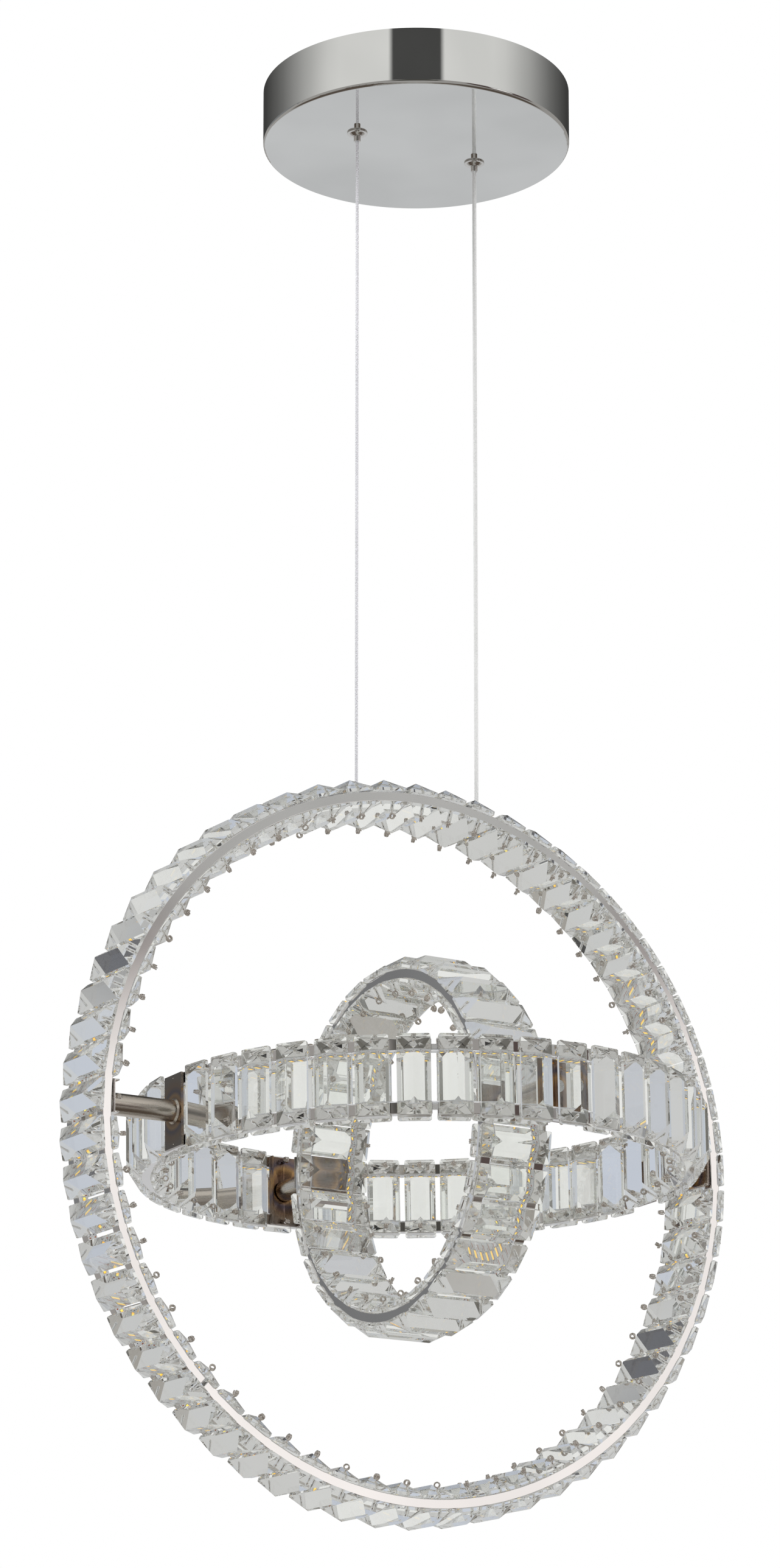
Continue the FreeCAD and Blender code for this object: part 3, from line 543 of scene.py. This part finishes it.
def round_edges(piece, width, steps, shading, flats_kept=False):
    """Rounds the sharp edges. Where flats are kept, a flat face is shaded flat right up to the rounding."""
    piece.modifiers.new("clean", "NODES").node_group = clean_normals
    if flats_kept:
        piece.modifiers.new("shading", "NODES").node_group = shading
    bevel = piece.modifiers.new("rounding", "BEVEL")
    bevel.harden_normals = flats_kept
    bevel.width = width
    bevel.segments = steps
    bevel.limit_method = "ANGLE"
    bevel.angle_limit = math.radians(rounded_from)
    bevel.use_clamp_overlap = not flats_kept
    if not flats_kept:
        piece.modifiers.new("shading", "NODES").node_group = shading


def found_finish(name):
    """A node's material, by its whole name or else by how its name ends."""
    if name.endswith("_led_strips"):
        return strip_material(name.split("_")[0])
    if name in NODE_FINISHES:
        return finishes[NODE_FINISHES[name]]
    return next(finishes[one] for ending, one in ENDING_FINISHES.items() if name.endswith(ending))


def dress_solids():
    for name, piece in nodes.items():
        piece.data.materials.clear()
        piece.data.materials.append(found_finish(name))
        if name.endswith("_crystals"):
            round_edges(piece, glass_edge, glass_edge_steps, facet_shading)
        elif name.endswith("_rail"):
            round_edges(piece, rail_edge, rail_edge_steps, soft_shading, True)
        elif name in ("large_bracket_plates", "medium_inner_plates"):
            round_edges(piece, metal_edge, metal_edge_steps, soft_shading)
        elif name.endswith(SHEET_ENDINGS):
            round_edges(piece, sheet_edge, sheet_edge_steps, soft_shading)


# Meshes made here

def new_piece(name, points, faces, finish_used, body, smooth=True):
    mesh = bpy.data.meshes.new(name)
    mesh.from_pydata([tuple(p) for p in points], [], faces)
    mesh.materials.append(finish_used)
    mesh.polygons.foreach_set("use_smooth", [smooth] * len(mesh.polygons))
    piece = bpy.data.objects.new(name, mesh)
    bpy.context.scene.collection.objects.link(piece)
    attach(piece, body)
    return piece


def tube_along(path, radius, sides):
    """Points and faces of a capped tube along a list of points."""
    path = np.asarray(path)
    tangents = np.gradient(path, axis=0)
    tangents /= np.linalg.norm(tangents, axis=1)[:, None]
    normal = np.cross(tangents[0], askew)
    points = []
    angles = np.arange(sides) * 2 * math.pi / sides
    for centre, tangent in zip(path, tangents):
        normal = normal - tangent * normal.dot(tangent)
        normal /= np.linalg.norm(normal)
        across = np.cross(tangent, normal)
        points.extend(centre + radius * (np.cos(angles)[:, None] * normal + np.sin(angles)[:, None] * across))
    faces = []
    for k in range(len(path) - 1):
        here = k * sides
        there = here + sides
        for s in range(sides):
            following = (s + 1) % sides
            faces.append((here + s, here + following, there + following, there + s))
    last = (len(path) - 1) * sides
    faces.append(tuple(range(sides - 1, -1, -1)))
    faces.append(tuple(range(last, last + sides)))
    return points, faces


def join_tubes(tubes):
    points = []
    faces = []
    for tube_points, tube_faces in tubes:
        start = len(points)
        points.extend(tube_points)
        faces.extend([tuple(v + start for v in face) for face in tube_faces])
    return points, faces


def loose_solids(node):
    """The vertices of each separate solid of a CAD node."""
    mesh = nodes[node].data
    places = np.array([v.co for v in mesh.vertices])
    keys = np.round(places / same_place).astype(np.int64)
    unique, index = np.unique(keys, axis=0, return_inverse=True)
    index = index.ravel()
    owner = np.arange(len(unique))

    def find(a):
        while owner[a] != a:
            owner[a] = owner[owner[a]]
            a = owner[a]
        return a

    for edge in mesh.edges:
        first, second = find(index[edge.vertices[0]]), find(index[edge.vertices[1]])
        if first != second:
            owner[first] = second
    roots = np.array([find(a) for a in range(len(unique))])[index]
    return [places[roots == root] for root in np.unique(roots)]


RINGS = {}


def measure_rings():
    """Each ring's centre and axis, read from its rails."""
    for ring, rails in RING_RAILS.items():
        middles = []
        for node in rails:
            places = np.array([v.co for v in nodes[node].data.vertices])
            middles.append((places.max(0) + places.min(0)) / 2)
        across = middles[0] - middles[1]
        RINGS[ring] = ((middles[0] + middles[1]) / 2, across / np.linalg.norm(across))


def reference(axis):
    """A level or upright direction across an axis, which angles round it are counted from."""
    upright = abs(axis[2]) < math.sqrt(0.5)
    start = np.array((0.0, 0.0, 1.0)) if upright else np.array((1.0, 0.0, 0.0))
    start = start - axis * start.dot(axis)
    return start / np.linalg.norm(start)


def wound_pin(places, centre, axis, roll):
    """A straight wire with a wound eye, in the place of one CAD pin."""
    offset = places - centre
    height = offset @ axis
    base = centre + axis * (height.max() + height.min()) / 2
    flat = offset - np.outer(height, axis)
    out = flat.mean(0)
    out /= np.linalg.norm(out)
    along = flat @ out
    swing = math.cos(roll) * np.cross(axis, out) + math.sin(roll) * axis
    lift = np.cross(out, swing)
    eye_centre = along.min() + eye_radius + wire_radius
    bend_start = eye_centre + eye_radius + bend_wires * wire_radius
    path = [base + out * along.max(), base + out * bend_start]
    steps = int(eye_turns * turn_points)
    for k in range(steps + 1):
        turn = 2 * math.pi * eye_turns * k / steps
        stack = eye_turns * eye_pitch * (k / steps - 1 / 2)
        reach = eye_centre + eye_radius * math.cos(turn)
        path.append(base + out * reach + swing * eye_radius * math.sin(turn) + lift * stack)
    return tube_along(path, wire_radius, wire_sides)


def make_pins():
    """Wound wire in place of every CAD pin. The eyes' roll differs from pin to pin."""
    shuffle = np.random.default_rng(pin_seed)
    for ring, body in RING_BODIES.items():
        node = ring + "_crystal_pins"
        tubes = []
        for places in loose_solids(node):
            tubes.append(wound_pin(places, *RINGS[ring], shuffle.normal(eye_roll, eye_roll_spread)))
        points, faces = join_tubes(tubes)
        piece = new_piece(ring + "_wound_pins", points, faces, finishes["wire_nickel"], body)
        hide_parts(node)


def led_places(ring):
    """Each LED package's turn, its radius, its points, and the ways outward and to the other rail."""
    centre, axis = RINGS[ring]
    across = reference(axis)
    found = []
    for places in loose_solids(ring + "_led_chips"):
        middle = places.mean(0)
        rise = (middle - centre) @ axis
        out = middle - centre - axis * rise
        radius = np.linalg.norm(out)
        out = out / radius
        turn = math.atan2(out @ np.cross(axis, across), out @ across)
        found.append((turn, radius, places, out, -math.copysign(1.0, rise) * axis))
    return found


def led_rhythm(ring):
    """The turn of one LED, the turn between neighbours, and the radius of their row."""
    found = led_places(ring)
    turns = np.unique(np.round([item[0] for item in found], turn_decimals))
    return float(turns[0]), float(np.median(np.diff(turns))), float(np.mean([item[1] for item in found]))


def lens_on(places, axis, out, inward, end):
    """Points of one half lens: a rectangle on the package, and a smaller one a little above it."""
    side = np.cross(axis, out)
    middle = places.mean(0) + inward * np.ptp(places @ axis) / 2
    reach_out = np.ptp(places @ out) / 2 * lens_share
    reach_side = np.ptp(places @ side) / 2 * lens_share
    points = []
    for level, shrink in ((0.0, 1.0), (lens_proud, lens_top_share)):
        for a, b in ((-1, 0), (1, 0), (1, end), (-1, end)):
            point = middle + inward * level + out * reach_out * a * shrink
            points.append(point + side * reach_side * b * shrink)
    return points


def make_lenses():
    """Phosphor on the inner face of each LED package, a yellow half and an amber half."""
    for ring, body in RING_BODIES.items():
        axis = RINGS[ring][1]
        for shade, end in (("yellow", -1), ("amber", 1)):
            points = []
            faces = []
            for _, _, places, out, inward in led_places(ring):
                start = len(points)
                points.extend(lens_on(places, axis, out, inward, end))
                faces.append((start + 4, start + 5, start + 6, start + 7))
                for v in range(4):
                    w = (v + 1) % 4
                    faces.append((start + v, start + w, start + 4 + w, start + 4 + v))
            new_piece(ring + "_" + shade + "_lenses", points, faces, finishes[shade + "_lens"], body,
                      smooth=False)


# Cables

def spline_points(name, route):
    """Points along the smooth line that a route of control points gives."""
    curve = bpy.data.curves.new(name, "CURVE")
    curve.dimensions = "3D"
    curve.resolution_u = route_points_per_span
    spline = curve.splines.new("NURBS")
    spline.points.add(len(route) - 1)
    for point, place in zip(spline.points, route):
        point.co = (*place, 1.0)
    spline.use_endpoint_u = True
    spline.order_u = route_order
    holder = bpy.data.objects.new(name, curve)
    mesh = bpy.data.meshes.new_from_object(holder)
    points = np.array([v.co for v in mesh.vertices])
    bpy.data.objects.remove(holder)
    bpy.data.curves.remove(curve)
    return points


def strand(points, offset, lay, phase, sense):
    """One wire that winds round a straight line of points."""
    start = points[0]
    heading = points[-1] - start
    heading = heading / np.linalg.norm(heading)
    first = np.cross(heading, (0.0, 1.0, 0.0))
    second = np.cross(heading, first)
    travelled = (points - start) @ heading
    angle = phase + sense * travelled * 2 * math.pi / lay
    return points + offset * (np.cos(angle)[:, None] * first + np.sin(angle)[:, None] * second)


def cable_route(node):
    """A cable's middle line and its diameter, read from its CAD node."""
    low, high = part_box(node)
    x = (low.x + high.x) / 2
    span = high.z - low.z
    route = [(x, 0.0, high.z), (x, 0.0, high.z - span / 3), (x, 0.0, low.z + span / 3), (x, 0.0, low.z)]
    return spline_points(node + "_route", route), high.x - low.x


def declare_cable(piece, node):
    """Hides a cable's CAD node, and gives the piece its own mesh."""
    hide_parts(node)
    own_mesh(piece)


def make_steel_cable():
    points, diameter = cable_route("steel_cable")
    wire = diameter / (2 * steel_wires_across)
    tubes = []
    for k in range(steel_strands):
        phase = 2 * math.pi * k / steel_strands
        line = strand(points, diameter / 2 - wire, steel_lay, phase, 1)
        tubes.append(tube_along(line, wire, steel_wire_sides))
    tubes.append(tube_along(points, wire, steel_wire_sides))
    mesh_points, faces = join_tubes(tubes)
    piece = new_piece("twisted_steel_cable", mesh_points, faces, finishes["cable_steel"], "canopy")
    declare_cable(piece, "steel_cable")


def make_power_cable():
    points, diameter = cable_route("power_cable")
    wire = diameter * braid_wire_share
    tubes = []
    for sense in (-1, 1):
        offset = diameter * braid_offset_share + sense * wire / 2
        for k in range(braid_strands):
            phase = 2 * math.pi * k / braid_strands
            tubes.append(tube_along(strand(points, offset, braid_lay, phase, sense), wire, braid_wire_sides))
    tubes.append(tube_along(points, diameter * braid_core_share, braid_core_sides))
    tubes.append(tube_along(points, diameter / 2, sheath_sides))
    mesh_points, faces = join_tubes(tubes)
    piece = new_piece("braided_power_cable", mesh_points, faces, finishes["braid_wire"], "canopy")
    piece.data.materials.append(finishes["clear_sheath"])
    sheath_faces = len(tubes[-1][1])
    for face in piece.data.polygons[len(faces) - sheath_faces:]:
        face.material_index = 1
    declare_cable(piece, "power_cable")


def squash_springs():
    """Gives each gripper spring its own mesh."""
    for side in ("left", "right"):
        spring = side + "_gripper_spring"
        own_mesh(nodes[spring])


# Stage: floor, lamps, world and camera

def make_floor():
    """A floor that the camera sees as white, and that mirrored and refracted light passes through."""
    mesh = bpy.data.meshes.new("floor")
    half = floor_size / 2
    corners = [(x * half, y * half, floor_height) for x, y in ((-1, -1), (1, -1), (1, 1), (-1, 1))]
    mesh.from_pydata(corners, [], [(0, 1, 2, 3)])
    floor = bpy.data.objects.new("floor", mesh)
    bpy.context.scene.collection.objects.link(floor)
    made = bpy.data.materials.new("floor_paint")
    made.use_nodes = True
    graph = Graph(made.node_tree)
    paint_shader = graph.add("ShaderNodeBsdfPrincipled", None, Base_Color=grey(floor_level),
                             Roughness=floor_roughness)
    glow = graph.add("ShaderNodeEmission", None, Color=grey(1.0), Strength=1.0)
    clear = graph.add("ShaderNodeBsdfTransparent")
    path = graph.add("ShaderNodeLightPath")
    side = graph.add("ShaderNodeNewGeometry").outputs["Backfacing"]
    front = graph.add("ShaderNodeMixShader", None, in0=path.outputs["Is Camera Ray"],
                      in1=paint_shader.outputs[0], in2=glow.outputs[0])
    mirrored = graph.math("MAXIMUM", path.outputs["Is Glossy Ray"], path.outputs["Is Transmission Ray"])
    unseen = graph.math("MAXIMUM", mirrored, side)
    both = graph.add("ShaderNodeMixShader", None, in0=unseen, in1=front.outputs[0], in2=clear.outputs[0])
    graph.add("ShaderNodeOutputMaterial", None, in0=both.outputs[0])
    mesh.materials.append(made)


# What metal mirrors above a height: degrees round from the camera's side to the far side, and the level there
CANOPY_PROFILE = [
    (0, 0.068), (17.5, 0.068), (21, 0.76), (60, 0.76), (70, 0.70), (78, 0.60), (86, 0.50), (94, 0.42),
    (102, 0.33), (110, 0.25), (120, 0.17), (130, 0.12), (142, 0.08), (156, 0.05), (180, 0.045),
]
CANOPY_TINT = (1.0, 0.99, 0.965)
canopy_band_height = 18.5
canopy_band_blur = 1.5
half_turn = 180.0

# Cards: degrees to the right of the camera's view, height, radius, blur, colour
METAL_BASE = (0.36, 0.345, 0.33)
METAL_CARDS = [
    (0, -24, 25, 10, (0.60, 0.605, 0.615)),
    (90, -58, 24, 10, (0.10, 0.08, 0.065)),
    (-90, -58, 24, 10, (0.10, 0.08, 0.065)),
    (180, 0, 17, 4, (0.07, 0.068, 0.06)),
    (-62, 12, 14, 8, (0.21, 0.215, 0.22)),
    (116.5, 5.5, 26, 4, (0.10, 0.075, 0.07)),
    (116.5, 32, 17.2, 1.2, (0.47, 0.475, 0.465)),
    (116.5, 4.4, 8.6, 2.2, (1.06, 1.02, 1.0)),
]
GLASS_BASE = (0.60, 0.60, 0.59)
GLASS_CARDS = [
    (0, 10, 28, 6, (0.84, 0.84, 0.82)),
    (-66, 8, 18, 8, (0.56, 0.60, 0.68)),
    (-88, 47, 18, 8, (0.61, 0.63, 0.66)),
    (70, 15, 16, 8, (0.55, 0.57, 0.61)),
    (95, 57, 16, 6, (0.52, 0.53, 0.55)),
    (48, -28, 8, 4, (0.15, 0.15, 0.145)),
    (-42, 38, 8, 4, (0.11, 0.11, 0.12)),
    (128, 30, 10, 4, (0.20, 0.20, 0.19)),
    (-128, -22, 10, 4, (0.16, 0.15, 0.13)),
    (0, -90, 30, 10, (0.36, 0.34, 0.31)),
    (180, -5, 22, 6, (0.13, 0.125, 0.11)),
]


def direction(turn, height):
    """The way to a place so many degrees to the right of the camera's view, and so many up."""
    yaw = math.radians(camera_yaw + turn)
    rise = math.radians(height)
    return (math.sin(yaw) * math.cos(rise), math.cos(yaw) * math.cos(rise), math.sin(rise))


def with_cards(graph, aim, base, cards):
    """Surroundings of one colour with soft round cards in them."""
    colour = (*base, 1.0)
    for turn, height, radius, blur, tone in cards:
        near = graph.vector("DOT_PRODUCT", aim, direction(turn, height))
        rim = math.cos(math.radians(radius + blur))
        core = math.cos(math.radians(radius))
        colour = graph.mix(graph.spread(near, rim, core, 0.0, 1.0), colour, (*tone, 1.0))
    return colour


def canopy_band(graph, aim):
    """The level round the horizon, from the camera's side to the far side."""
    flat = graph.vector("NORMALIZE", graph.vector("MULTIPLY", aim, (1.0, 1.0, 0.0)))
    cosine = graph.vector("DOT_PRODUCT", flat, direction(half_turn, 0.0))
    turn = graph.math("DIVIDE", graph.math("ARCCOSINE", cosine), math.pi)
    stops = [(angle / half_turn, darker(level, CANOPY_TINT)) for angle, level in CANOPY_PROFILE]
    return graph.ramp(turn, stops)


def make_world():
    """White to the camera, and to metal, glass and the rest each their own surroundings."""
    world = bpy.data.worlds.new("studio")
    bpy.context.scene.world = world
    world.use_nodes = True
    graph = Graph(world.node_tree)
    aim = graph.add("ShaderNodeTexCoord").outputs["Generated"]
    rise = graph.add("ShaderNodeSeparateXYZ", None, Vector=aim).outputs[2]
    low_edge = math.sin(math.radians(canopy_band_height - canopy_band_blur))
    high_edge = math.sin(math.radians(canopy_band_height + canopy_band_blur))
    high = graph.spread(rise, low_edge, high_edge, 0.0, 1.0)
    for_metal = graph.mix(high, with_cards(graph, aim, METAL_BASE, METAL_CARDS), canopy_band(graph, aim))
    for_glass = with_cards(graph, aim, GLASS_BASE, GLASS_CARDS)
    path = graph.add("ShaderNodeLightPath")
    shown = graph.add("ShaderNodeBackground", None, Color=grey(room_level), Strength=1.0)
    layers = (("Is Glossy Ray", for_metal), ("Is Transmission Ray", for_glass), ("Is Camera Ray", grey(1.0)))
    for ray, colour in layers:
        background = graph.add("ShaderNodeBackground", None, Color=colour, Strength=1.0)
        shown = graph.add("ShaderNodeMixShader", None, in0=path.outputs[ray], in1=shown.outputs[0],
                          in2=background.outputs[0])
    graph.add("ShaderNodeOutputWorld", None, in0=shown.outputs[0])


def add_lamp(name, turn, height, away, size, power):
    """A round lamp aimed at the rings' centre, which metal and glass don't show."""
    data = bpy.data.lights.new(name, "AREA")
    data.shape = "DISK"
    data.size = size
    data.energy = power
    lamp = bpy.data.objects.new(name, data)
    bpy.context.scene.collection.objects.link(lamp)
    toward = Vector(direction(turn, height))
    lamp.location = pivot + toward * away
    lamp.rotation_mode = "QUATERNION"
    lamp.rotation_quaternion = toward.to_track_quat("Z", "Y")
    lamp.visible_glossy = False
    lamp.visible_transmission = False


def make_camera():
    data = bpy.data.cameras.new("camera")
    data.sensor_fit = "AUTO"
    data.sensor_width = sensor_width
    data.lens = camera_lens
    data.shift_y = camera_shift
    data.clip_end = farthest_seen
    camera = bpy.data.objects.new("camera", data)
    bpy.context.scene.collection.objects.link(camera)
    camera.location = camera_place
    camera.rotation_euler = Euler((math.radians(90 + camera_pitch), 0.0, -math.radians(camera_yaw)))
    bpy.context.scene.camera = camera


def set_bounces():
    """Cut glass needs many bounces before its facets stop turning black."""
    cycles = bpy.context.scene.cycles
    cycles.max_bounces = light_bounces
    cycles.transmission_bounces = light_bounces
    cycles.glossy_bounces = light_bounces


bpy.context.scene.view_settings.view_transform = "Standard"
set_bounces()
make_camera()
make_steel_cable()
make_power_cable()
measure_rings()
dress_solids()
squash_springs()
make_pins()
make_lenses()
make_floor()
make_world()
for name, settings in LAMPS.items():
    add_lamp(name, *settings)
